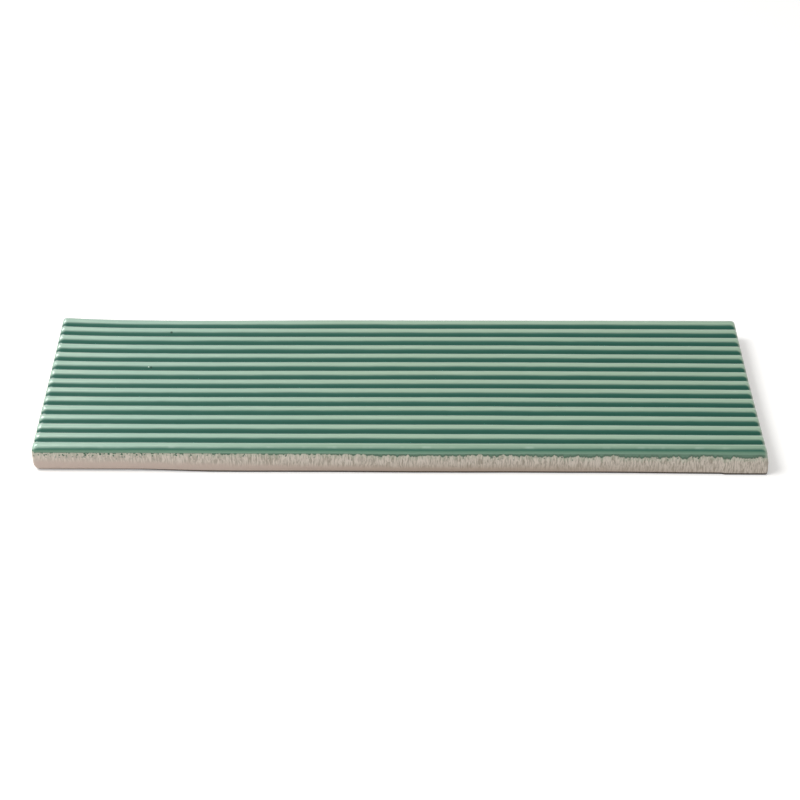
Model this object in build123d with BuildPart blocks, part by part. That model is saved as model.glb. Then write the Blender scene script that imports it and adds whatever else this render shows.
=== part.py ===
"""Fluted ceramic wall tile: one fired piece with fifteen lengthwise ridges.

Millimetres. The tile lies on its back face: X runs along the ridges, Y across them, Z up out of
the glazed face. The origin is the middle of the back face.
"""

import os
from math import floor

from build123d import *

# Outline
length = 300.0
width = 100.0
body_thickness = 9.9
plan_corner_radius = 1.2

# Fluted face: convex ridges that fill the width edge to edge and meet in narrow creases
ridge_count = 15
ridge_height = 1.4
crease_radius = 0.3
arris_radius = 0.5

# Ends: the glazed face rolls over at both, and the fired foot is rounder at the left one
roll_over_radius = 2.5
left_foot_radius = 2.8
right_foot_radius = 1.0
long_foot_radius = 0.6

# Keying recesses pressed into the back face for the adhesive
recess_width = 7.0
recess_land = 7.0
recess_depth = 0.8
recess_draft = 20.0
recess_side_margin = 10.0
recess_end_margin = 14.0

ridge_pitch = width / ridge_count
overall_thickness = body_thickness + ridge_height
half_length = length / 2
half_width = width / 2

with BuildPart() as tile:
    # Cross-section: fifteen arcs over a plain rectangle, extruded along the ridges
    with BuildSketch(Plane.YZ.offset(-half_length)) as section:
        with BuildLine() as outline:
            for ridge in range(ridge_count):
                foot = ridge * ridge_pitch - half_width
                ThreePointArc(
                    (foot, body_thickness),
                    (foot + ridge_pitch / 2, overall_thickness),
                    (foot + ridge_pitch, body_thickness),
                )
            Polyline(
                (half_width, body_thickness),
                (half_width, 0),
                (-half_width, 0),
                (-half_width, body_thickness),
            )
        make_face()
        creases = section.vertices().group_by(Axis.Y)[-1].sort_by(Axis.X)[1:-1]
        fillet(creases, radius=crease_radius)
        arrises = [section.vertices().group_by(Axis.X)[side].sort_by(Axis.Y)[-1] for side in (0, -1)]
        fillet(arrises, radius=arris_radius)
        long_feet = [section.vertices().group_by(Axis.X)[side].sort_by(Axis.Y)[0] for side in (0, -1)]
        fillet(long_feet, radius=long_foot_radius)
    extrude(amount=length)

    # Side view: the ends roll over at the top and round under at the foot
    with BuildSketch(Plane.XZ.offset(-half_width)) as side_view:
        with Locations((0, overall_thickness / 2)):
            Rectangle(length, overall_thickness)
        fillet(side_view.vertices().group_by(Axis.Y)[-1], radius=roll_over_radius)
        left_foot = side_view.vertices().group_by(Axis.Y)[0].sort_by(Axis.X)[0]
        fillet(left_foot, radius=left_foot_radius)
        right_foot = side_view.vertices().group_by(Axis.Y)[0].sort_by(Axis.X)[-1]
        fillet(right_foot, radius=right_foot_radius)
    extrude(amount=width, mode=Mode.INTERSECT)

    # Plan: small upright corner radii
    with BuildSketch() as plan:
        RectangleRounded(length, width, plan_corner_radius)
    extrude(amount=overall_thickness, mode=Mode.INTERSECT)

    # Back face: an even row of drafted recesses, with a land on the middle line
    recess_spacing = recess_width + recess_land
    row_width = width - 2 * recess_side_margin + recess_land
    recess_count = 2 * max(1, floor(row_width / (2 * recess_spacing)))
    with BuildSketch() as recesses:
        with GridLocations(0, recess_spacing, 1, recess_count):
            SlotOverall(length - 2 * recess_end_margin, recess_width)
    extrude(amount=recess_depth, taper=recess_draft, mode=Mode.SUBTRACT)

tile.part.label = "tile"

os.makedirs("parts", exist_ok=True)
export_step(tile.part, "parts/tile.step")
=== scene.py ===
"""A fluted celadon tile on a white sweep, lit softly from the left.

Metres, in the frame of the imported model: X runs along the ridges, Y across them, Z up out of the
glazed face. The tile is one fired piece, so the scene shows one piece: a slab between a fluted top
surface and a foot, with the slips of hand glazing and firing that the drawn solid leaves out.
"""

import logging
import math
from dataclasses import dataclass, field
from enum import Enum
from typing import Any

import bpy
from mathutils import Matrix, Vector


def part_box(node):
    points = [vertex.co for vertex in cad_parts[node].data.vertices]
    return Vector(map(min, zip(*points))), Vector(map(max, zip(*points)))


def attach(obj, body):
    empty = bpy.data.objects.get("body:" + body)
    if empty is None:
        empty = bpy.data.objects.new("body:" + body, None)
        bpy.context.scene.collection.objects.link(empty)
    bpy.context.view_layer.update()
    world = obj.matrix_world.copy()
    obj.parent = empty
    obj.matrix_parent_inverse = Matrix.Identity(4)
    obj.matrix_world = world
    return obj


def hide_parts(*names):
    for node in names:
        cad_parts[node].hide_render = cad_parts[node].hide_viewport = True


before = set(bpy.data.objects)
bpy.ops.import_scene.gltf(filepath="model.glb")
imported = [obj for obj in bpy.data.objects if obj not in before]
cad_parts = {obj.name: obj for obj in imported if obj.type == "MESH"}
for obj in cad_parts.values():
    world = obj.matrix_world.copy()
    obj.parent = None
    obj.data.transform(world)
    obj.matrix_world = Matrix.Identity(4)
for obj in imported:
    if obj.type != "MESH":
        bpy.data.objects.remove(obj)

MM = 0.001
TILE_NODE = "tile"
BODY = "root"
POOL = "pool"
RIM = "rim"
BELOW_ARRIS = "below_arris"
WHITE = (1.0, 1.0, 1.0, 1.0)
SRGB_LINEAR_END = 0.04045
SRGB_LINEAR_SLOPE = 12.92
SRGB_OFFSET = 0.055
SRGB_POWER = 2.4

Colour = tuple[float, float, float, float]
Place = tuple[float, float, float]

log = logging.getLogger("fluted_tile")


class Kind(Enum):
    """The kinds of socket that the groups and trees of this file have."""

    NUMBER = "NodeSocketFloat"
    COUNT = "NodeSocketInt"
    SHAPE = "NodeSocketGeometry"
    FINISH = "NodeSocketMaterial"


def from_srgb(red: int, green: int, blue: int) -> Colour:
    """Turns an eight-bit colour into the linear one that a shader socket takes.

    Args:
        red: Red, 0 to 255.
        green: Green, 0 to 255.
        blue: Blue, 0 to 255.

    Returns:
        The linear colour with an alpha of 1.
    """
    linear = [share / SRGB_LINEAR_SLOPE if share <= SRGB_LINEAR_END
              else ((share + SRGB_OFFSET) / (1.0 + SRGB_OFFSET)) ** SRGB_POWER
              for share in (red / 255, green / 255, blue / 255)]
    return (*linear, 1.0)


class Sheet:
    """A node tree while it is drawn: adds nodes and joins or sets their sockets."""

    def __init__(self, tree: bpy.types.NodeTree) -> None:
        """Keeps the tree that the nodes go into."""
        self.tree = tree

    def node(self, kind: str, **settings: Any) -> bpy.types.Node:
        """Adds one node.

        Args:
            kind: The node's type name.
            **settings: Properties to set on it.

        Returns:
            The new node.
        """
        node = self.tree.nodes.new(kind)
        for name, value in settings.items():
            setattr(node, name, value)
        return node

    def feed(self, socket: bpy.types.NodeSocket, value: Any) -> None:
        """Joins a term to a socket, or sets the socket's own value."""
        if isinstance(value, Term):
            self.tree.links.new(value.socket, socket)
        else:
            socket.default_value = value

    def term(self, socket: bpy.types.NodeSocket) -> "Term":
        """Wraps an output socket so that sums can be written with it."""
        return Term(self, socket)

    def math(self, operation: str, *values: Any) -> "Term":
        """Adds a Math node.

        Args:
            operation: The node's operation.
            *values: Its inputs in order, as terms or numbers.

        Returns:
            The result.
        """
        node = self.node("ShaderNodeMath", operation=operation)
        for socket, value in zip(node.inputs, values):
            self.feed(socket, value)
        return self.term(node.outputs[0])

    def split(self, vector: "Term") -> tuple["Term", "Term", "Term"]:
        """Splits a vector into its X, Y and Z."""
        node = self.node("ShaderNodeSeparateXYZ")
        self.feed(node.inputs[0], vector)
        return tuple(self.term(output) for output in node.outputs)

    def join(self, x: Any, y: Any, z: Any) -> "Term":
        """Joins X, Y and Z into a vector."""
        node = self.node("ShaderNodeCombineXYZ")
        for socket, value in zip(node.inputs, (x, y, z)):
            self.feed(socket, value)
        return self.term(node.outputs[0])

    def facing(self, vector: "Term", toward: Place) -> "Term":
        """The cosine between a vector and a fixed direction."""
        node = self.node("ShaderNodeVectorMath", operation="DOT_PRODUCT")
        self.feed(node.inputs[0], vector)
        node.inputs[1].default_value = Vector(toward).normalized()
        return self.term(node.outputs["Value"])

    def noise(self, place: Any, seed: float, detail: float, roughness: float) -> "Term":
        """Adds smooth noise of one cell to each unit of place.

        Args:
            place: The vector that the noise is read at.
            seed: A fixed number that picks the pattern.
            detail: How many finer octaves are added.
            roughness: How strong the finer octaves are.

        Returns:
            The noise, 0 to 1 with a mean of a half.
        """
        node = self.node("ShaderNodeTexNoise", noise_dimensions="4D")
        self.feed(node.inputs["Vector"], place)
        self.feed(node.inputs["W"], seed)
        self.feed(node.inputs["Scale"], 1.0)
        self.feed(node.inputs["Detail"], detail)
        self.feed(node.inputs["Roughness"], roughness)
        return self.term(node.outputs[0])

    def ramp(self, value: Any, low: Any, high: Any) -> "Term":
        """Goes smoothly from 0 at low to 1 at high, which may be the smaller one."""
        node = self.node("ShaderNodeMapRange", interpolation_type="SMOOTHSTEP")
        for name, item in (("Value", value), ("From Min", low), ("From Max", high)):
            self.feed(node.inputs[name], item)
        return self.term(node.outputs[0])

    def blend(self, factor: Any, first: Any, second: Any) -> "Term":
        """Mixes two numbers: first at a factor of 0, second at 1."""
        # A Mix node has a pair of sockets for each data type, and numbers have the first pair
        node = self.node("ShaderNodeMix", data_type="FLOAT")
        for index, value in ((0, factor), (2, first), (3, second)):
            self.feed(node.inputs[index], value)
        return self.term(node.outputs[0])

    def tint(self, factor: Any, first: Any, second: Any) -> "Term":
        """Mixes two colours: first at a factor of 0, second at 1."""
        # Colours have the third pair of sockets
        node = self.node("ShaderNodeMix", data_type="RGBA")
        for index, value in ((0, factor), (6, first), (7, second)):
            self.feed(node.inputs[index], value)
        return self.term(node.outputs[2])


class Term:
    """An output socket that ordinary arithmetic can be written with."""

    def __init__(self, sheet: Sheet, socket: bpy.types.NodeSocket) -> None:
        """Keeps the sheet that new nodes go into, and the socket."""
        self.sheet = sheet
        self.socket = socket

    def __add__(self, other: Any) -> "Term":
        """Adds."""
        return self.sheet.math("ADD", self, other)

    def __radd__(self, other: Any) -> "Term":
        """Adds to a number."""
        return self.sheet.math("ADD", other, self)

    def __sub__(self, other: Any) -> "Term":
        """Subtracts."""
        return self.sheet.math("SUBTRACT", self, other)

    def __rsub__(self, other: Any) -> "Term":
        """Subtracts from a number."""
        return self.sheet.math("SUBTRACT", other, self)

    def __mul__(self, other: Any) -> "Term":
        """Multiplies."""
        return self.sheet.math("MULTIPLY", self, other)

    def __rmul__(self, other: Any) -> "Term":
        """Multiplies a number."""
        return self.sheet.math("MULTIPLY", other, self)

    def __truediv__(self, other: Any) -> "Term":
        """Divides."""
        return self.sheet.math("DIVIDE", self, other)

    def __abs__(self) -> "Term":
        """Drops the sign."""
        return self.sheet.math("ABSOLUTE", self)

    def sine(self) -> "Term":
        """The sine of an angle in radians."""
        return self.sheet.math("SINE", self)

    def root(self) -> "Term":
        """The square root."""
        return self.sheet.math("SQRT", self)

    def at_least(self, other: Any) -> "Term":
        """The larger of two."""
        return self.sheet.math("MAXIMUM", self, other)

    def at_most(self, other: Any) -> "Term":
        """The smaller of two."""
        return self.sheet.math("MINIMUM", self, other)


@dataclass(frozen=True)
class Fade:
    """A smooth change from 0 at its start to its strength where it is full."""

    start: float
    full: float
    strength: float = 1.0

    def over(self, sheet: Sheet, value: Term) -> Term:
        """How strong the fade is at a value."""
        return sheet.ramp(value, self.start, self.full) * self.strength


@dataclass(frozen=True)
class Hump:
    """A smooth hump of 1 at its middle that has nearly died away at twice its reach."""

    middle: float
    reach: float

    def over(self, sheet: Sheet, value: Term) -> Term:
        """How high the hump is at a value."""
        off = (value - self.middle) / self.reach
        return sheet.math("EXPONENT", off * off * -1.0)


@dataclass(frozen=True)
class Pattern:
    """Smooth noise with a fixed seed and cells of a fixed size along each axis that it follows."""

    cell: tuple[float, ...]
    seed: float
    detail: float = 2.0
    roughness: float = 0.5

    def noise(self, sheet: Sheet, *place: Term) -> Term:
        """The pattern at a place, 0 to 1 with a mean of a half."""
        counted = [value / size for value, size in zip(place, self.cell)]
        unused = [0.0] * (3 - len(counted))
        return sheet.noise(sheet.join(*counted, *unused), self.seed, self.detail, self.roughness)

    def wander(self, sheet: Sheet, *place: Term) -> Term:
        """The pattern at a place, -1 to 1 with a mean of 0."""
        return (self.noise(sheet, *place) - 0.5) * 2.0


def new_group(name: str, kind: str, takes: dict[str, Kind],
              gives: dict[str, Kind]) -> tuple[Sheet, dict[str, Term], bpy.types.Node]:
    """Starts a node group with named sockets.

    Args:
        name: The group's name.
        kind: ShaderNodeTree or GeometryNodeTree.
        takes: Its inputs and what they are.
        gives: Its outputs and what they are.

    Returns:
        The sheet, the inputs as terms by name, and the output node.
    """
    tree = bpy.data.node_groups.new(name, kind)
    for word, socket in takes.items():
        tree.interface.new_socket(name=word, in_out="INPUT", socket_type=socket.value)
    for word, socket in gives.items():
        tree.interface.new_socket(name=word, in_out="OUTPUT", socket_type=socket.value)
    sheet = Sheet(tree)
    entry = sheet.node("NodeGroupInput")
    terms = {word: sheet.term(entry.outputs[word]) for word in takes}
    return sheet, terms, sheet.node("NodeGroupOutput")


@dataclass(frozen=True)
class Spot:
    """Where a point of the block is: its place, its distances from the edges and its shares."""

    along: Term
    across: Term
    upward: Term
    from_left: Term
    from_right: Term
    from_end: Term
    from_side: Term
    end_share: Term
    side_share: Term
    front: Term
    back: Term


@dataclass
class FlutedTile:
    """The tile: a slab between a fluted top surface and its foot, with the slips of firing."""

    # The section, and how its ridges round down at the ends
    body: float = 9.9 * MM
    ridges: int = 15
    crease_fill: float = 0.12 * MM
    arris: float = 0.6 * MM
    roll_over: float = 2.8 * MM
    blend: float = 0.5 * MM
    end_round: float = 2.4 * MM
    end_round_share: float = 0.5

    # The feet: rounder at the left end, and worn along the sides near it
    left_foot: float = 3.2 * MM
    right_foot: float = 1.0 * MM
    long_foot: float = 0.65 * MM
    worn_long_foot: float = 1.9 * MM
    worn_from: float = -72.0 * MM
    worn_to: float = -112.0 * MM

    # The keying recesses in the back face
    recess_width: float = 7.0 * MM
    recess_spacing: float = 14.0 * MM
    recess_depth: float = 0.8 * MM
    recess_slope: float = 0.3 * MM
    recess_end_slope: float = 0.6 * MM
    recess_count: int = 6
    recess_end_margin: float = 14.0 * MM

    # The outline: its corners, the flared foot at the right, the nick in it and the tucked left end
    corner: float = 1.3 * MM
    left_tuck: float = 0.2 * MM
    side_flare: float = 0.5 * MM
    flare: float = 0.68 * MM
    flare_share: float = 0.55
    flare_from: float = 75.0 * MM
    flare_to: float = 136.0 * MM
    belly: float = 0.6
    nick: float = 0.45 * MM
    nick_at: float = 131.0 * MM
    nick_edge: float = 1.0 * MM
    skew: Fade = Fade(0.7, 1.0, 0.3 * MM)

    # The slips across the tile: the slant of both sides and the slow wander of the creases
    front_taper: float = 0.35 * MM
    back_spread: float = 0.25 * MM
    back_slant: float = 0.25 * MM
    front_pull: float = 0.5 * MM
    front_pull_foot: float = 0.3
    front_pull_side: Fade = Fade(0.85, 1.0)
    front_pull_run: Fade = Fade(-0.1, 0.7)
    wander: float = 0.16 * MM
    waves: Pattern = Pattern((38.0 * MM, 14.0 * MM, 1.0), 3.0, detail=1.0)

    # The slips upward: the dished middle, the lifted corner and the sagging back edge
    cup: float = 0.33 * MM
    cup_run: Hump = Hump(-90.0 * MM, 76.0 * MM)
    right_dip: float = 1.4
    lift: float = 1.2 * MM
    lift_reach: float = 18.0 * MM
    sag: float = 0.4 * MM
    sag_run: Hump = Hump(-95.0 * MM, 42.0 * MM)
    sag_side: Fade = Fade(0.86, 0.94)

    # The grid, and how much of it is drawn toward the edges and the creases
    columns: int = 200
    column_crowding: float = 0.8
    steps_per_ridge: int = 14
    crease_crowding: float = 0.4
    rows: int = 16
    row_crowding: float = 0.5

    # Where the glaze runs thin toward the edges, and the narrow rim of the arrises, which the
    # finish darkens as thin glaze and as painted shade
    left_break: Fade = Fade(3.0 * MM, 0.0, 0.25)
    right_break: Fade = Fade(2.8 * MM, 0.0, 0.26)
    side_break: Fade = Fade(3.0 * MM, 0.0, 0.15)
    side_rim: Fade = Fade(0.9 * MM, 0.0)
    end_rim: Fade = Fade(0.8 * MM, 0.0)
    end_rim_crown: Fade = Fade(0.8, 0.4)

    seed: float = 3.0
    finish: bpy.types.Material | None = None
    low: Vector = field(default_factory=lambda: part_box(TILE_NODE)[0])
    high: Vector = field(default_factory=lambda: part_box(TILE_NODE)[1])

    def sizes(self) -> dict[str, tuple[Kind, Any]]:
        """The tree's named inputs, with the kind and value of each."""
        span = self.high - self.low
        return {
            "Length": (Kind.NUMBER, span.x),
            "Width": (Kind.NUMBER, span.y),
            "Thickness": (Kind.NUMBER, span.z),
            "Body": (Kind.NUMBER, self.body),
            "Ridges": (Kind.COUNT, self.ridges),
            "Roll Over": (Kind.NUMBER, self.roll_over),
            "Left Foot": (Kind.NUMBER, self.left_foot),
            "Right Foot": (Kind.NUMBER, self.right_foot),
            "Long Foot": (Kind.NUMBER, self.long_foot),
            "Worn Long Foot": (Kind.NUMBER, self.worn_long_foot),
            "Corner": (Kind.NUMBER, self.corner),
            "Arris": (Kind.NUMBER, self.arris),
            "Flare": (Kind.NUMBER, self.flare),
            "Cup": (Kind.NUMBER, self.cup),
            "Front Taper": (Kind.NUMBER, self.front_taper),
            "Back Spread": (Kind.NUMBER, self.back_spread),
            "Wander": (Kind.NUMBER, self.wander),
            "Lift": (Kind.NUMBER, self.lift),
            "Sag": (Kind.NUMBER, self.sag),
            "Seed": (Kind.NUMBER, self.seed),
            "Finish": (Kind.FINISH, self.finish),
        }

    def drop(self, inward: Term, radius: Term | float) -> Term:
        """How far a quarter round falls below its flat.

        Args:
            inward: The distance in from the edge.
            radius: The radius of the round.

        Returns:
            The radius at the edge itself, and 0 from one radius in.
        """
        reach = (radius - inward).at_least(0.0).at_most(radius)
        return radius - (radius * radius - reach * reach).at_least(0.0).root()

    def ridge(self, sheet: Sheet, given: dict[str, Term], turn: Term) -> tuple[Term, Term]:
        """The height of the ridges over the body.

        Args:
            sheet: The tree being drawn.
            given: The tree's inputs.
            turn: The place across the tile, counted in ridges.

        Returns:
            The height, and how far from the crown the place is: 0 there and 1 in a crease.
        """
        height = given["Thickness"] - given["Body"]
        half_pitch = given["Width"] / given["Ridges"] * 0.5
        off_crown = abs(sheet.math("FRACT", turn) - 0.5) * 2.0
        radius = (half_pitch * half_pitch / height + height) * 0.5
        distance = off_crown * half_pitch
        arc = (radius * radius - distance * distance).root() - radius + height
        filled = sheet.math("SMOOTH_MAX", arc, self.crease_fill, self.crease_fill)
        return filled, off_crown

    def recesses(self, sheet: Sheet, given: dict[str, Term], spot: Spot) -> Term:
        """The depth of the keying recesses in the back face at a place."""
        reach = self.recess_spacing * self.recess_count / 2
        slope = self.recess_slope
        row = abs(sheet.math("PINGPONG", spot.across + reach, self.recess_spacing / 2)
                  - self.recess_spacing / 2)
        in_row = sheet.ramp(row, self.recess_width / 2 + slope, self.recess_width / 2 - slope)
        in_width = sheet.ramp(abs(spot.across), reach + slope, reach - slope)
        half_run = given["Length"] * 0.5 - self.recess_end_margin
        end_slope = self.recess_end_slope
        in_length = sheet.ramp(abs(spot.along), half_run + end_slope, half_run - end_slope)
        return in_row * in_width * in_length * self.recess_depth

    def grid(self, sheet: Sheet, given: dict[str, Term]) -> tuple[Term, Term, Term, Term]:
        """Divides a block and spreads its grid so that edges and creases get more of it.

        Args:
            sheet: The tree being drawn.
            given: The tree's inputs.

        Returns:
            The block, the place along the tile, the place across it counted in ridges, and the
            place upward from 0 to 1.
        """
        block = sheet.node("GeometryNodeMeshCube")
        sheet.feed(block.inputs["Vertices X"], self.columns + 1)
        sheet.feed(block.inputs["Vertices Y"], self.ridges * self.steps_per_ridge + 1)
        sheet.feed(block.inputs["Vertices Z"], self.rows + 1)
        u, v, w = sheet.split(sheet.term(sheet.node("GeometryNodeInputPosition").outputs[0]))
        even = u * 2.0
        bunched = (even * (math.pi / 2)).sine()
        along = sheet.blend(self.column_crowding, even, bunched) * given["Length"] * 0.5
        whole_turn = 2 * math.pi
        turn = (v + 0.5) * given["Ridges"]
        turn = turn - (turn * whole_turn).sine() * (self.crease_crowding / whole_turn)
        upward = w + 0.5
        upward = upward - (upward * whole_turn).sine() * (self.row_crowding / whole_turn)
        return sheet.term(block.outputs["Mesh"]), along, turn, upward

    def locate(self, given: dict[str, Term], along: Term, across: Term, upward: Term) -> Spot:
        """Works out how far a place is from the edges, and its shares of the length and width."""
        from_left = along + given["Length"] * 0.5
        from_right = given["Length"] * 0.5 - along
        side_share = across / given["Width"] * 2.0
        return Spot(
            along=along,
            across=across,
            upward=upward,
            from_left=from_left,
            from_right=from_right,
            from_end=from_left.at_most(from_right),
            from_side=given["Width"] * 0.5 - abs(across),
            end_share=along / given["Length"] * 2.0,
            side_share=side_share,
            front=(0.0 - side_share).at_least(0.0),
            back=side_share.at_least(0.0),
        )

    def face(self, sheet: Sheet, given: dict[str, Term], spot: Spot,
             turn: Term) -> tuple[Term, Term]:
        """The glazed face: the ridges, domed and rolled over at the ends.

        Args:
            sheet: The tree being drawn.
            given: The tree's inputs.
            spot: Where the place is.
            turn: The place across the tile, counted in ridges.

        Returns:
            The height of the face, and how far the place is from the crown of its ridge.
        """
        flute, off_crown = self.ridge(sheet, given, turn)
        rolled = given["Thickness"] + self.blend - self.drop(spot.from_end, given["Roll Over"])
        dome = self.drop(spot.from_end, self.end_round) * self.end_round_share
        top = sheet.math("SMOOTH_MIN", flute + given["Body"] - dome, rolled, self.blend)
        return top - self.drop(spot.from_side, given["Arris"]), off_crown

    def foot(self, sheet: Sheet, given: dict[str, Term], spot: Spot) -> Term:
        """The height of the underside: rounded feet all round and the keying recesses."""
        worn = sheet.ramp(spot.along, self.worn_from, self.worn_to)
        side_radius = sheet.blend(worn, given["Long Foot"], given["Worn Long Foot"])
        height = self.drop(spot.from_left, given["Left Foot"])
        height = height + self.drop(spot.from_right, given["Right Foot"])
        height = height + self.drop(spot.from_side, side_radius)
        return height + self.recesses(sheet, given, spot)

    def outline(self, sheet: Sheet, given: dict[str, Term], spot: Spot,
                height: Term) -> tuple[Term, Term]:
        """How far a place moves outward for the corners, the flares, the nick and the tuck.

        Args:
            sheet: The tree being drawn.
            given: The tree's inputs.
            spot: Where the place is.
            height: Its height.

        Returns:
            The shift along the tile, and the widening as a share of the place across.
        """
        low_down = (1.0 - height / given["Body"]).at_least(0.0)
        right_flare = sheet.ramp(spot.along, self.flare_from, self.flare_to) * given["Flare"]
        tuck = sheet.ramp(spot.along, -self.flare_from, given["Length"] * -0.5) * self.left_tuck
        outward = right_flare * sheet.ramp(low_down, 0.0, self.belly) + tuck * low_down
        outward = outward + self.skew.over(sheet, spot.end_share) * spot.front
        nick = sheet.ramp(spot.along, self.nick_at, self.nick_at + self.nick_edge) * self.nick
        sideways = sheet.ramp(spot.along, self.worn_to, self.worn_from) * self.side_flare + nick
        sideways = (sideways + right_flare * self.flare_share) * low_down
        inset = self.drop(spot.from_end, given["Corner"])
        return outward, (sideways - inset) / given["Width"] * 2.0

    def lean(self, sheet: Sheet, given: dict[str, Term], spot: Spot) -> Term:
        """The slants of both long sides and the wander of the creases.

        Args:
            sheet: The tree being drawn.
            given: The tree's inputs.
            spot: Where the place is.

        Returns:
            How far the place shifts across the tile.
        """
        slant = spot.back * spot.back * (given["Back Spread"] + spot.end_share * self.back_slant)
        slant = slant - spot.front * spot.end_share * given["Front Taper"]
        pull = self.front_pull_side.over(sheet, spot.front)
        pull = pull * self.front_pull_run.over(sheet, spot.end_share)
        pull = pull * sheet.blend(spot.upward, self.front_pull_foot, 1.0) * self.front_pull
        wave = self.waves.wander(sheet, spot.along, spot.across, given["Seed"])
        return slant + pull + wave * given["Wander"]

    def settle(self, sheet: Sheet, given: dict[str, Term], spot: Spot) -> Term:
        """The lifted corner, the sagging back edge and the dished face.

        Args:
            sheet: The tree being drawn.
            given: The tree's inputs.
            spot: Where the place is.

        Returns:
            How far the place shifts upward.
        """
        toward_back = spot.side_share * 0.5 + 0.5
        lift = sheet.math("EXPONENT", spot.from_left / (-self.lift_reach)) * given["Lift"]
        lift = lift * toward_back * toward_back
        sag = self.sag_run.over(sheet, spot.along) * self.sag_side.over(sheet, spot.side_share)
        right_share = spot.end_share.at_least(0.0)
        right_dip = right_share * right_share * self.right_dip
        dip = self.cup_run.over(sheet, spot.along).at_least(right_dip)
        cup = (1.0 - spot.side_share * spot.side_share) * dip * given["Cup"]
        return lift - (sag * given["Sag"] + cup) * spot.upward

    def marks(self, sheet: Sheet, spot: Spot, off_crown: Term, below: Term) -> dict[str, Term]:
        """Works out what the finish reads from the mesh.

        Args:
            sheet: The tree being drawn.
            spot: Where the place is.
            off_crown: How far it is from the crown of its ridge.
            below: How far it is below the face, in metres.

        Returns:
            The pooling, the rim and the depth below the arris in millimetres, by name.
        """
        thinned = self.left_break.over(sheet, spot.from_left)
        thinned = thinned + self.right_break.over(sheet, spot.from_right)
        thinned = thinned + self.side_break.over(sheet, spot.from_side)
        # At the left end the rim reaches onto the crowns, where the finish paints the outline
        # darker as shade
        end_rim = self.end_rim.over(sheet, spot.from_left)
        end_rim = end_rim * self.end_rim_crown.over(sheet, off_crown)
        rim = self.side_rim.over(sheet, spot.from_side).at_least(end_rim)
        return {POOL: off_crown - thinned, RIM: rim, BELOW_ARRIS: below / MM}

    def draw_tree(self) -> bpy.types.NodeTree:
        """Draws the tree that shapes the tile from a divided block.

        Returns:
            The geometry tree, which makes the tile and ignores the mesh that it is put on.
        """
        sheet, given, result = new_group(
            "Fluted tile", "GeometryNodeTree",
            {name: kind for name, (kind, _) in self.sizes().items()}, {"Tile": Kind.SHAPE})
        shape, along, turn, upward = self.grid(sheet, given)
        across = (turn / given["Ridges"] - 0.5) * given["Width"]
        spot = self.locate(given, along, across, upward)
        top, off_crown = self.face(sheet, given, spot, turn)
        bottom = self.foot(sheet, given, spot)
        height = bottom + (top - bottom) * upward
        outward, widening = self.outline(sheet, given, spot, height)
        place = sheet.join(along + outward,
                           across * (1.0 + widening) + self.lean(sheet, given, spot),
                           height + self.settle(sheet, given, spot))

        for name, value in self.marks(sheet, spot, off_crown, top - height).items():
            keep = sheet.node("GeometryNodeStoreNamedAttribute", data_type="FLOAT", domain="POINT")
            sheet.feed(keep.inputs["Geometry"], shape)
            sheet.feed(keep.inputs["Name"], name)
            sheet.feed(keep.inputs["Value"], value)
            shape = sheet.term(keep.outputs[0])
        move = sheet.node("GeometryNodeSetPosition")
        sheet.feed(move.inputs["Geometry"], shape)
        sheet.feed(move.inputs["Position"], place)
        smooth = sheet.node("GeometryNodeSetShadeSmooth")
        sheet.feed(smooth.inputs["Geometry"], sheet.term(move.outputs[0]))
        realize = sheet.node("GeometryNodeRealizeInstances")
        sheet.feed(realize.inputs[0], sheet.term(smooth.outputs[0]))
        dress = sheet.node("GeometryNodeSetMaterial")
        sheet.feed(dress.inputs["Geometry"], sheet.term(realize.outputs[0]))
        sheet.feed(dress.inputs["Material"], given["Finish"])
        sheet.feed(result.inputs[0], sheet.term(dress.outputs[0]))
        return sheet.tree

    def build(self) -> bpy.types.Object:
        """Runs the tree once and keeps its mesh as the tile's own.

        Returns:
            The tile, a plain mesh at the origin.
        """
        holder = bpy.data.objects.new("tile_maker", bpy.data.meshes.new("tile_maker"))
        bpy.context.scene.collection.objects.link(holder)
        modifier = holder.modifiers.new("Fluted tile", "NODES")
        modifier.node_group = self.draw_tree()
        sockets = {item.name: item.identifier for item in modifier.node_group.interface.items_tree
                   if item.in_out == "INPUT"}
        for name, (_, value) in self.sizes().items():
            modifier[sockets[name]] = value
        graph = bpy.context.evaluated_depsgraph_get()
        mesh = bpy.data.meshes.new_from_object(holder.evaluated_get(graph), depsgraph=graph)
        bpy.data.objects.remove(holder)
        piece = bpy.data.objects.new("fluted_tile", mesh)
        bpy.context.scene.collection.objects.link(piece)
        return piece

    def dress(self, piece: bpy.types.Object) -> None:
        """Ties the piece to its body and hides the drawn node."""
        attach(piece, BODY)
        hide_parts(TILE_NODE)


@dataclass(frozen=True)
class Blemish:
    """A speck or pinhole in the glaze, in millimetres on the tile's face."""

    x: float
    y: float
    radius: float
    outer_share: float = 1.2
    inner_share: float = 0.6

    def mask(self, sheet: Sheet, along: Term, across: Term) -> Term:
        """1 within the blemish and 0 outside it, with a soft edge."""
        off_x = along - self.x
        off_y = across - self.y
        distance = (off_x * off_x + off_y * off_y).root()
        outer = self.radius * self.outer_share
        return sheet.ramp(distance, outer, self.radius * self.inner_share)


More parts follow.
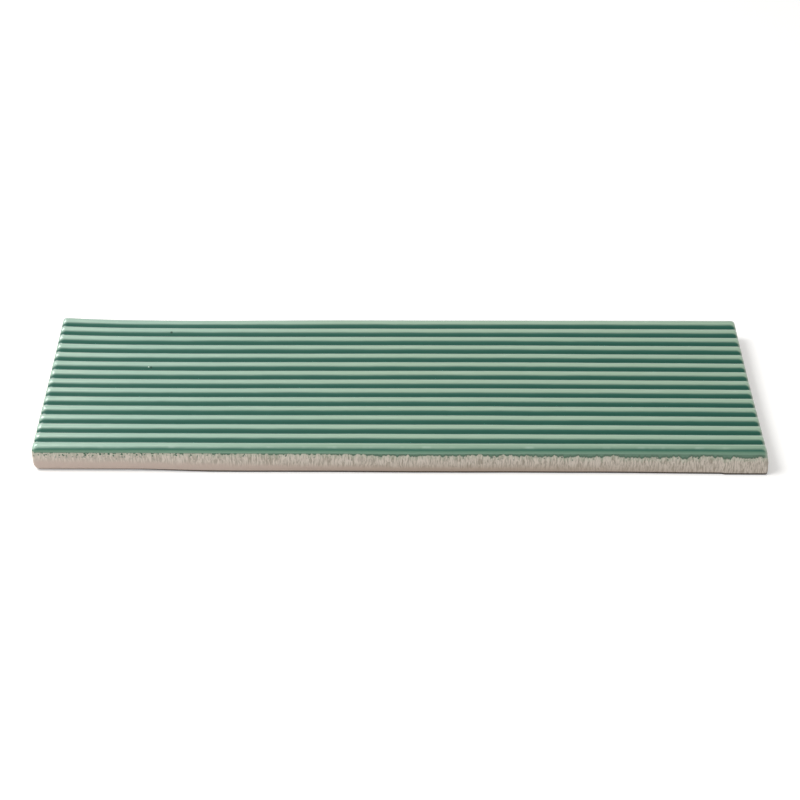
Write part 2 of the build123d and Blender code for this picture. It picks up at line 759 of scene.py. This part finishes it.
@dataclass(frozen=True)
class CeladonGlaze:
    """A glossy celadon glaze: thin and pale on the crowns, deep where it pools in the creases.

    Its places and lengths are in millimetres.
    """

    # The colours
    crown: Colour = from_srgb(166, 193, 169)
    cool_reflecting_crown: Colour = from_srgb(164, 196, 178)
    # Pale clouds of the glaze; also the colour of the painted sheen at the left end
    cloud: Colour = from_srgb(188, 211, 192)
    deep: Colour = from_srgb(48, 102, 86)
    crease: Colour = from_srgb(39, 93, 79)
    # Thin glaze at the arrises; also the colour of the painted shade on the outlines and the front
    # ridge
    thin: Colour = from_srgb(100, 138, 114)
    # Pale line along the front arris: a painted highlight
    arris: Colour = from_srgb(152, 190, 164)
    painted_end_reflection: Colour = from_srgb(196, 208, 190)
    # Near-black of the painted shade on the very left edge
    painted_edge_shade: Colour = from_srgb(34, 46, 40)
    bead: Colour = from_srgb(72, 102, 80)
    speck: Colour = from_srgb(40, 66, 52)
    # Near-white of the painted highlights
    painted_highlight: Colour = from_srgb(200, 222, 208)

    # From the crown to the crease; toward the left end the pale crowns widen and turn cooler,
    # partly thinner glaze and partly painted reflection of the light at the left
    crown_to_deep: Fade = Fade(0.22, 0.64)
    deep_to_crease: Fade = Fade(0.64, 0.95)
    left_thinning_and_painted_sheen: Fade = Fade(-70.0, -148.0, 0.05)
    cool_tint_and_painted_reflection: Fade = Fade(20.0, -140.0)

    # Its clouds and streaks, and the painted sheen, a painted reflection, on the crowns at the left
    # end
    clouds: Pattern = Pattern((17.0, 3.1), 11.0, detail=3.0, roughness=0.55)
    streaks: Pattern = Pattern((26.0, 0.8), 12.0)
    cloudiness: float = 0.09
    streak_depth: float = 0.5
    streak_light: float = 0.6
    cloud_light: Fade = Fade(-0.1, 0.6, 0.4)
    painted_sheen_run: Fade = Fade(-110.0, -146.0, 0.6)
    painted_sheen_streaks: Fade = Fade(-0.25, 0.3)

    # Along the outer ridges and arrises: thin glaze, with painted shade on the outlines and the
    # front ridge and painted highlights along the front
    rim_strength: float = 0.85
    painted_edge_shade_run: Fade = Fade(-149.0, -149.5)
    front_ridge_shade: Hump = Hump(-47.2, 1.0)
    front_ridge_shade_run: Fade = Fade(-120.0, -20.0, 0.35)
    painted_gleam_line: Hump = Hump(-47.85, 0.5)
    painted_gleams: Pattern = Pattern((8.0,), 15.0)
    painted_gleam_light: Fade = Fade(0.0, 0.3, 0.28)
    arris_highlight_line: Hump = Hump(-0.2, 0.26)
    arris_highlight_run: Fade = Fade(-230.0, -60.0, 0.75)
    back_ridge_shade: Fade = Fade(47.0, 49.0, 0.4)

    # Its thick lower edge, and a painted reflection that pales the right end
    bead_above_hem: Fade = Fade(-1.5, -0.4, 0.8)
    bead_below_arris: Fade = Fade(0.0, 0.3)
    end_reflection_run: Fade = Fade(148.6, 150.0, 0.7)

    # Its blemishes and its skin
    # A dark fleck, and a pinhole whose pit is dark partly of itself and partly as painted shade
    specks: tuple[Blemish, ...] = (Blemish(-100.7, 38.4, 0.6), Blemish(-107.0, 11.1, 0.5))
    speck_strength: float = 0.8
    # A painted highlight on the pinhole's rim
    painted_glints: tuple[Blemish, ...] = (Blemish(-108.1, 11.4, 0.32),)
    roughness: float = 0.16
    waves: Pattern = Pattern((5.0, 1.6, 1.6), 14.0)
    wave_height: float = 0.03

    def crown_colour(self, sheet: Sheet, x: Term, cloud: Term, streak: Term) -> Term:
        """The colour of the crowns, with clouds: cooler to the left, partly as painted reflection,
        and with a painted sheen at the left end.
        """
        crown = sheet.tint(self.cool_tint_and_painted_reflection.over(sheet, x), self.crown, self.cool_reflecting_crown)
        light = self.cloud_light.over(sheet, cloud + streak * self.streak_light)
        crown = sheet.tint(light, crown, self.cloud)
        # Painted sheen: a streaky painted reflection of the light on the crowns near the left end
        painted_sheen = self.painted_sheen_run.over(sheet, x) * self.painted_sheen_streaks.over(sheet, streak)
        return sheet.tint(painted_sheen, crown, self.cloud)

    def colour(self, sheet: Sheet, place: Term, pool: Term, rim: Term, below: Term,
               past: Term) -> Term:
        """The glaze's colour.

        Args:
            sheet: The tree being drawn.
            place: The place on the tile in millimetres.
            pool: How far the place is from the crown of its ridge.
            rim: How near the place is to an outer arris, where the glaze is thin and the outline is
                painted darker as shade.
            below: How far the place is below the arris, in millimetres.
            past: How far it is past the line where the glaze stops, in millimetres.

        Returns:
            The colour, with the clouds and specks of the glaze in it, and its painted shade,
            highlights and reflections.
        """
        x, y, _ = sheet.split(place)
        cloud = self.clouds.wander(sheet, x, y)
        streak = self.streaks.wander(sheet, x, y)
        depth = pool + (cloud + streak * self.streak_depth) * self.cloudiness
        # The pale crowns widen toward the left end, partly thinner glaze and partly painted
        # reflection
        depth = depth - self.left_thinning_and_painted_sheen.over(sheet, x)
        crown = self.crown_colour(sheet, x, cloud, streak)
        colour = sheet.tint(self.crown_to_deep.over(sheet, depth), crown, self.deep)
        colour = sheet.tint(self.deep_to_crease.over(sheet, depth), colour, self.crease)
        # Thin glaze on the rim, darkened further as painted shade along the outline
        colour = sheet.tint(rim * self.rim_strength, colour, self.thin)
        # Painted shade: a dark outline on the rim at the very left end
        colour = sheet.tint(rim * self.painted_edge_shade_run.over(sheet, x), colour, self.painted_edge_shade)
        # Painted shade: the front ridge's crown dulled toward the thin colour, standing in for the
        # weaker reflection there
        front = self.front_ridge_shade.over(sheet, y) * self.front_ridge_shade_run.over(sheet, x)
        colour = sheet.tint(front, colour, self.thin)
        # Painted highlights: patchy pale smears along the lower edge of the front ridge's bright
        # band
        patch = self.painted_gleams.wander(sheet, x)
        painted_gleam = self.painted_gleam_line.over(sheet, y) * self.painted_gleam_light.over(sheet, patch)
        colour = sheet.tint(painted_gleam, colour, self.painted_highlight)
        # Painted highlight: a pale line along the arris, fading out toward the left end
        pale = self.arris_highlight_line.over(sheet, below) * rim * self.arris_highlight_run.over(sheet, x)
        colour = sheet.tint(pale, colour, self.arris)
        # Painted shade: a darker outline along the back ridge
        colour = sheet.tint(self.back_ridge_shade.over(sheet, y), colour, self.thin)
        bead = self.bead_above_hem.over(sheet, past) * self.bead_below_arris.over(sheet, below)
        colour = sheet.tint(bead, colour, self.bead)
        # Painted reflection: the rolled-over right end paled as if it mirrored the white
        # surroundings
        colour = sheet.tint(self.end_reflection_run.over(sheet, x), colour, self.painted_end_reflection)
        for blemish in self.specks:
            speck = blemish.mask(sheet, x, y) * self.speck_strength
            colour = sheet.tint(speck, colour, self.speck)
        for blemish in self.painted_glints:
            colour = sheet.tint(blemish.mask(sheet, x, y), colour, self.painted_highlight)
        return colour

    def relief(self, sheet: Sheet, place: Term) -> Term:
        """The height of the glaze's gentle waves, in millimetres."""
        return self.waves.noise(sheet, *sheet.split(place)) * self.wave_height


@dataclass(frozen=True)
class BareBiscuit:
    """The unglazed body: a pinkish clay with upright strands of dry slip under the glaze.

    Its places and lengths are in millimetres.
    """

    # The colours
    clay: Colour = from_srgb(208, 190, 179)
    # Darker clay for the painted shade low on the sides
    lower: Colour = from_srgb(178, 160, 143)
    strand: Colour = from_srgb(225, 216, 204)
    gap: Colour = from_srgb(160, 151, 135)
    damp: Colour = from_srgb(130, 138, 112)
    veil: Colour = from_srgb(190, 204, 182)
    # Dark brown of the painted contact shadow under the foot
    painted_contact_shadow: Colour = from_srgb(46, 37, 30)

    # The upright strands, which bend a little and grow faint toward the left end
    strand_grain: Pattern = Pattern((0.6, 0.6, 4.5), 5.0, detail=2.5, roughness=0.6)
    strand_edge: Fade = Fade(0.32, 0.62)
    bend: Pattern = Pattern((3.0, 3.0, 2.5), 5.5, detail=1.0)
    bend_reach: float = 0.6
    faintness: Fade = Fade(-20.0, -140.0, 0.55)

    # How far down the slip ran, and its look near the glaze
    slip_reach: float = 6.8
    slip_reach_slope: float = 0.018
    slip_end: Fade = Fade(1.4, -1.4, 0.9)
    blotches: Pattern = Pattern((7.0, 7.0, 3.0), 6.0, detail=3.0)
    blotch_reach: float = 1.2
    dampness: Fade = Fade(3.2, 0.4, 0.7)
    veiling: Fade = Fade(2.2, 0.0, 0.4)

    # The darker clay low down, which is painted shade, and the painted contact shadow along the
    # foot
    low_shade_rise: Fade = Fade(5.5, 1.0, 0.85)
    low_shade_run: Hump = Hump(30.0, 95.0)
    contact_shadow_height: float = 1.25
    contact_shadow_left_rise: Fade = Fade(-60.0, -120.0, 0.25)
    contact_shadow_core: float = 0.5
    contact_shadow_side: Fade = Fade(6.0, 8.0)
    contact_shadow_run: Fade = Fade(-220.0, -80.0)

    # The surface
    roughness: float = 0.85
    grain: Pattern = Pattern((1.0, 1.0, 1.0), 7.0, detail=3.0, roughness=0.6)
    grain_height: float = 0.05
    strand_height: float = 0.06

    def strands(self, sheet: Sheet, place: Term) -> Term:
        """The upright strands: 0 in the gaps and 1 on the slip."""
        x, y, z = sheet.split(place)
        bend = self.bend.wander(sheet, x, y, z) * self.bend_reach
        grain = self.strand_grain.noise(sheet, x + bend, y + bend, z)
        return self.strand_edge.over(sheet, grain)

    def colour(self, sheet: Sheet, place: Term, below: Term, past: Term) -> Term:
        """The clay's colour.

        Args:
            sheet: The tree being drawn.
            place: The place on the tile in millimetres.
            below: How far the place is below the arris, in millimetres.
            past: How far it is past the line where the glaze stops, in millimetres.

        Returns:
            The colour, with the strands where slip ran down, painted shade low down and a painted
            contact shadow at the foot.
        """
        x, y, z = sheet.split(place)
        faint = self.faintness.over(sheet, x)
        gap = sheet.tint(self.dampness.over(sheet, past), self.gap, self.damp)
        slip = sheet.tint(self.strands(sheet, place).at_least(faint), gap, self.strand)
        slip = sheet.tint(self.veiling.over(sheet, past), slip, self.veil)
        blotch = self.blotches.wander(sheet, x, y, z) * self.blotch_reach
        reach = x * self.slip_reach_slope + self.slip_reach + blotch
        colour = sheet.tint(self.slip_end.over(sheet, below - reach), self.clay, slip)
        # Painted shade: the clay darkens over the lowest few millimetres, mostly from the middle
        # toward the right
        lower = self.low_shade_rise.over(sheet, z) * self.low_shade_run.over(sheet, x)
        colour = sheet.tint(lower, colour, self.lower)
        # Painted contact shadow: dark brown on the lowest millimetre or so of the clay, higher at
        # the left end
        height = self.contact_shadow_left_rise.over(sheet, x) + self.contact_shadow_height
        painted_contact_shadow = sheet.ramp(z, height, height * self.contact_shadow_core)
        painted_contact_shadow = painted_contact_shadow * self.contact_shadow_side.over(sheet, below) * self.contact_shadow_run.over(sheet, x)
        return sheet.tint(painted_contact_shadow, colour, self.painted_contact_shadow)

    def relief(self, sheet: Sheet, place: Term) -> Term:
        """The height of the strands and the grain of the clay, in millimetres."""
        grain = self.grain.noise(sheet, *sheet.split(place)) * self.grain_height
        return self.strands(sheet, place) * self.strand_height + grain


@dataclass(frozen=True)
class Hem:
    """The ragged line where the glaze stops below the arris, in millimetres."""

    depth: float = 1.0
    most: float = 1.65
    slope: float = 0.0085
    least: float = 0.3
    swell: float = 1.4
    swells: Pattern = Pattern((6.0, 6.0), 8.0)
    tooth: float = 1.8
    teeth: Pattern = Pattern((1.6, 1.6), 9.0)
    softness: float = 0.28
    thickness: float = 0.18

    # The level line across the left end, which holds from where the end begins
    end_line: float = 9.9
    end_start: Fade = Fade(-148.2, -149.4)

    # The specks of glaze below the line, rarer farther down and toward the right
    specks: Pattern = Pattern((1.1, 1.1, 1.1), 10.0, detail=1.0)
    speck_edge: Fade = Fade(0.53, 0.58)
    speck_reach: Fade = Fade(4.0, 0.5)
    rarer_below: float = 0.025
    rarer_right: Fade = Fade(-130.0, -20.0, 0.12)

    def mask(self, sheet: Sheet, place: Term, below: Term) -> tuple[Term, Term]:
        """Finds the glaze and the bare body below it.

        Args:
            sheet: The tree being drawn.
            place: The place on the tile in millimetres.
            below: How far the place is below the arris, in millimetres.

        Returns:
            1 on the glaze and 0 on the bare body, with the specks of glaze that the line leaves
            below it, and the distance past the line in millimetres.
        """
        x, y, z = sheet.split(place)
        line = (x * self.slope + self.depth).at_most(self.most)
        line = line + self.swells.wander(sheet, x, y) * self.swell
        line = line + self.teeth.wander(sheet, x, y) * self.tooth
        end_drop = (self.end_line - z) * self.end_start.over(sheet, x)
        past = below.at_least(end_drop) - line.at_least(self.least)
        rarer = past.at_least(0.0) * self.rarer_below + self.rarer_right.over(sheet, x)
        specks = self.speck_edge.over(sheet, self.specks.noise(sheet, x, y, z) - rarer)
        specks = specks * self.speck_reach.over(sheet, past)
        return sheet.ramp(past, self.softness, -self.softness).at_least(specks), past


@dataclass(frozen=True)
class FiredTile:
    """The tile's whole finish: the glaze down to its ragged line, and bare clay below it."""

    glaze: CeladonGlaze = CeladonGlaze()
    biscuit: BareBiscuit = BareBiscuit()
    hem: Hem = Hem()

    def material(self) -> bpy.types.Material:
        """Makes the material."""
        material = bpy.data.materials.new("glazed_tile")
        material.use_nodes = True
        sheet = Sheet(material.node_tree)
        shader = material.node_tree.nodes["Principled BSDF"]
        coordinates = sheet.node("ShaderNodeTexCoord")
        scale = sheet.node("ShaderNodeVectorMath", operation="SCALE")
        sheet.feed(scale.inputs[0], sheet.term(coordinates.outputs["Object"]))
        scale.inputs["Scale"].default_value = 1 / MM
        place = sheet.term(scale.outputs[0])
        pool, rim, below = (
            sheet.term(sheet.node("ShaderNodeAttribute", attribute_name=name).outputs["Fac"])
            for name in (POOL, RIM, BELOW_ARRIS))
        glazed, past = self.hem.mask(sheet, place, below)
        sheet.feed(shader.inputs["Base Color"],
                   sheet.tint(glazed, self.biscuit.colour(sheet, place, below, past),
                              self.glaze.colour(sheet, place, pool, rim, below, past)))
        sheet.feed(shader.inputs["Roughness"],
                   sheet.blend(glazed, self.biscuit.roughness, self.glaze.roughness))
        skin = self.glaze.relief(sheet, place) + self.hem.thickness
        height = sheet.blend(glazed, self.biscuit.relief(sheet, place), skin)
        bump = sheet.node("ShaderNodeBump")
        sheet.feed(bump.inputs["Height"], height * MM)
        bump.inputs["Distance"].default_value = 1.0
        sheet.feed(shader.inputs["Normal"], sheet.term(bump.outputs[0]))
        return material


@dataclass
class Studio:
    """A white sweep, soft light from the left, and the camera of the photograph."""

    # The camera, worked out from the tile's edges in the photograph
    image_width: float = 800.0
    focal_pixels: float = 2037.0
    sensor: float = 36.0
    camera_place: Place = (-1.2 * MM, -719.7 * MM, 499.0 * MM)
    pitch: float = math.radians(34.66)
    yaw: float = math.radians(-0.125)
    roll: float = math.radians(0.212)
    nearest: float = 0.01
    farthest: float = 50.0

    # The floor and the sweep behind it
    floor_reach: float = 6.0
    floor_colour: Colour = (0.9, 0.888, 0.87, 1.0)
    floor_glow: float = 0.33
    sweep_top: float = 0.42
    sweep_foot: float = 0.17

    # The even light, and the wide halo of the lamp
    ambient: float = 0.22
    halo: float = 0.8
    halo_toward: Place = (-0.50, 0.30, 0.81)
    halo_rim: float = math.radians(50)
    halo_core: float = math.radians(8)

    # The lamp at the left
    key_level: float = 0.5
    key_place: Place = (-0.56, -0.06, 0.9)
    key_size: tuple[float, float] = (0.5, 0.4)

    # The strip of light that the glaze reflects: its top and foot are cosines of their elevation
    strip_toward: Place = (-0.59, 0.81, 0.0)
    strip_half_width: float = 0.19
    strip_side_softness: float = 0.3
    strip_top: Fade = Fade(0.48, 0.64)
    strip_foot: Fade = Fade(0.89, 0.79)
    strip_level: float = 14.0

    def camera(self) -> None:
        """Sets up the camera at the place and angles worked out from the photograph."""
        data = bpy.data.cameras.new("camera")
        data.sensor_width = self.sensor
        data.lens = self.focal_pixels / self.image_width * self.sensor
        data.clip_start = self.nearest
        data.clip_end = self.farthest
        camera = bpy.data.objects.new("camera", data)
        bpy.context.scene.collection.objects.link(camera)
        plumb = Vector((0, 0, 1))
        ahead = Vector((-math.sin(self.yaw), math.cos(self.yaw), 0.0))
        right = Vector((math.cos(self.yaw), math.sin(self.yaw), 0.0))
        view = ahead * math.cos(self.pitch) - plumb * math.sin(self.pitch)
        upright = ahead * math.sin(self.pitch) + plumb * math.cos(self.pitch)
        across = right * math.cos(self.roll) + upright * math.sin(self.roll)
        up = upright * math.cos(self.roll) - right * math.sin(self.roll)
        axes = Matrix((across, up, -view)).transposed().to_4x4()
        camera.matrix_world = Matrix.Translation(self.camera_place) @ axes
        bpy.context.scene.camera = camera

    def lamp(self) -> None:
        """Hangs the soft lamp at the left, which lights the tile but isn't mirrored in it."""
        place = Vector(self.key_place)
        data = bpy.data.lights.new("left_softbox", "AREA")
        data.shape = "RECTANGLE"
        data.size, data.size_y = self.key_size
        # The power that gives the key level on the tile from this distance and slant
        slant = place.z / place.length
        data.energy = math.pi ** 2 * place.length_squared * self.key_level / slant
        lamp = bpy.data.objects.new("left_softbox", data)
        lamp.location = place
        lamp.rotation_euler = (-place).to_track_quat("-Z", "Y").to_euler()
        lamp.visible_glossy = False
        bpy.context.scene.collection.objects.link(lamp)

    def seen(self, sheet: Sheet) -> Term:
        """1 for a ray from the camera or off a glossy surface, which sees the white sweep."""
        path = sheet.node("ShaderNodeLightPath")
        return sheet.term(path.outputs["Is Camera Ray"]).at_least(
            sheet.term(path.outputs["Is Glossy Ray"]))

    def floor(self) -> None:
        """Lays the white floor, which glows a little to the camera so that only shadows show."""
        mesh = bpy.data.meshes.new("floor")
        r = self.floor_reach
        mesh.from_pydata([(-r, -r, 0), (r, -r, 0), (r, r, 0), (-r, r, 0)], [], [(0, 1, 2, 3)])
        floor = bpy.data.objects.new("floor", mesh)
        bpy.context.scene.collection.objects.link(floor)
        material = bpy.data.materials.new("white_floor")
        material.use_nodes = True
        sheet = Sheet(material.node_tree)
        shader = material.node_tree.nodes["Principled BSDF"]
        shader.inputs["Base Color"].default_value = self.floor_colour
        shader.inputs["Roughness"].default_value = 1.0
        shader.inputs["Specular IOR Level"].default_value = 0.0
        shader.inputs["Emission Color"].default_value = WHITE
        sheet.feed(shader.inputs["Emission Strength"], self.seen(sheet) * self.floor_glow)
        floor.data.materials.append(material)

    def strip(self, sheet: Sheet, toward: Term) -> Term:
        """The strip of light that stands at the back left: 1 within it and 0 outside."""
        x, y, _ = sheet.split(toward)
        out = sheet.facing(toward, self.strip_toward)
        aside = abs(x * self.strip_toward[1] - y * self.strip_toward[0])
        strip = sheet.ramp(aside, self.strip_half_width * (1.0 + self.strip_side_softness),
                           self.strip_half_width * (1.0 - self.strip_side_softness))
        return strip * self.strip_top.over(sheet, out) * self.strip_foot.over(sheet, out)

    def sky(self) -> None:
        """Sets the even light, the lamp's halo and the strip; the camera sees only white."""
        world = bpy.data.worlds.new("studio")
        world.use_nodes = True
        bpy.context.scene.world = world
        sheet = Sheet(world.node_tree)
        background = world.node_tree.nodes["Background"]
        background.inputs["Color"].default_value = WHITE
        path = sheet.node("ShaderNodeLightPath")
        toward = sheet.term(sheet.node("ShaderNodeTexCoord").outputs["Generated"])
        near_lamp = sheet.ramp(sheet.facing(toward, self.halo_toward),
                               math.cos(self.halo_rim), math.cos(self.halo_core))
        _, _, up = sheet.split(toward)
        sweep = sheet.ramp(up, self.sweep_top, self.sweep_foot)
        level = sheet.blend(sweep, near_lamp * self.halo + self.ambient, 1.0)
        mirrored = self.strip(sheet, toward) * sheet.term(path.outputs["Is Glossy Ray"])
        level = level + mirrored * self.strip_level
        seen = sheet.term(path.outputs["Is Camera Ray"])
        sheet.feed(background.inputs["Strength"], sheet.blend(seen, level, 1.0))

    def build(self) -> None:
        """Sets up the camera, the floor and the light."""
        self.camera()
        self.floor()
        self.lamp()
        self.sky()
        bpy.context.scene.view_settings.view_transform = "Standard"


def main() -> None:
    """Builds the tile and the studio, and logs how many faces the tile has."""
    logging.basicConfig(level=logging.INFO)
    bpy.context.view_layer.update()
    tile = FlutedTile(finish=FiredTile().material())
    piece = tile.build()
    tile.dress(piece)
    log.info("%s: %d faces", piece.name, len(piece.data.polygons))
    Studio().build()


if __name__ == "__main__":
    main()
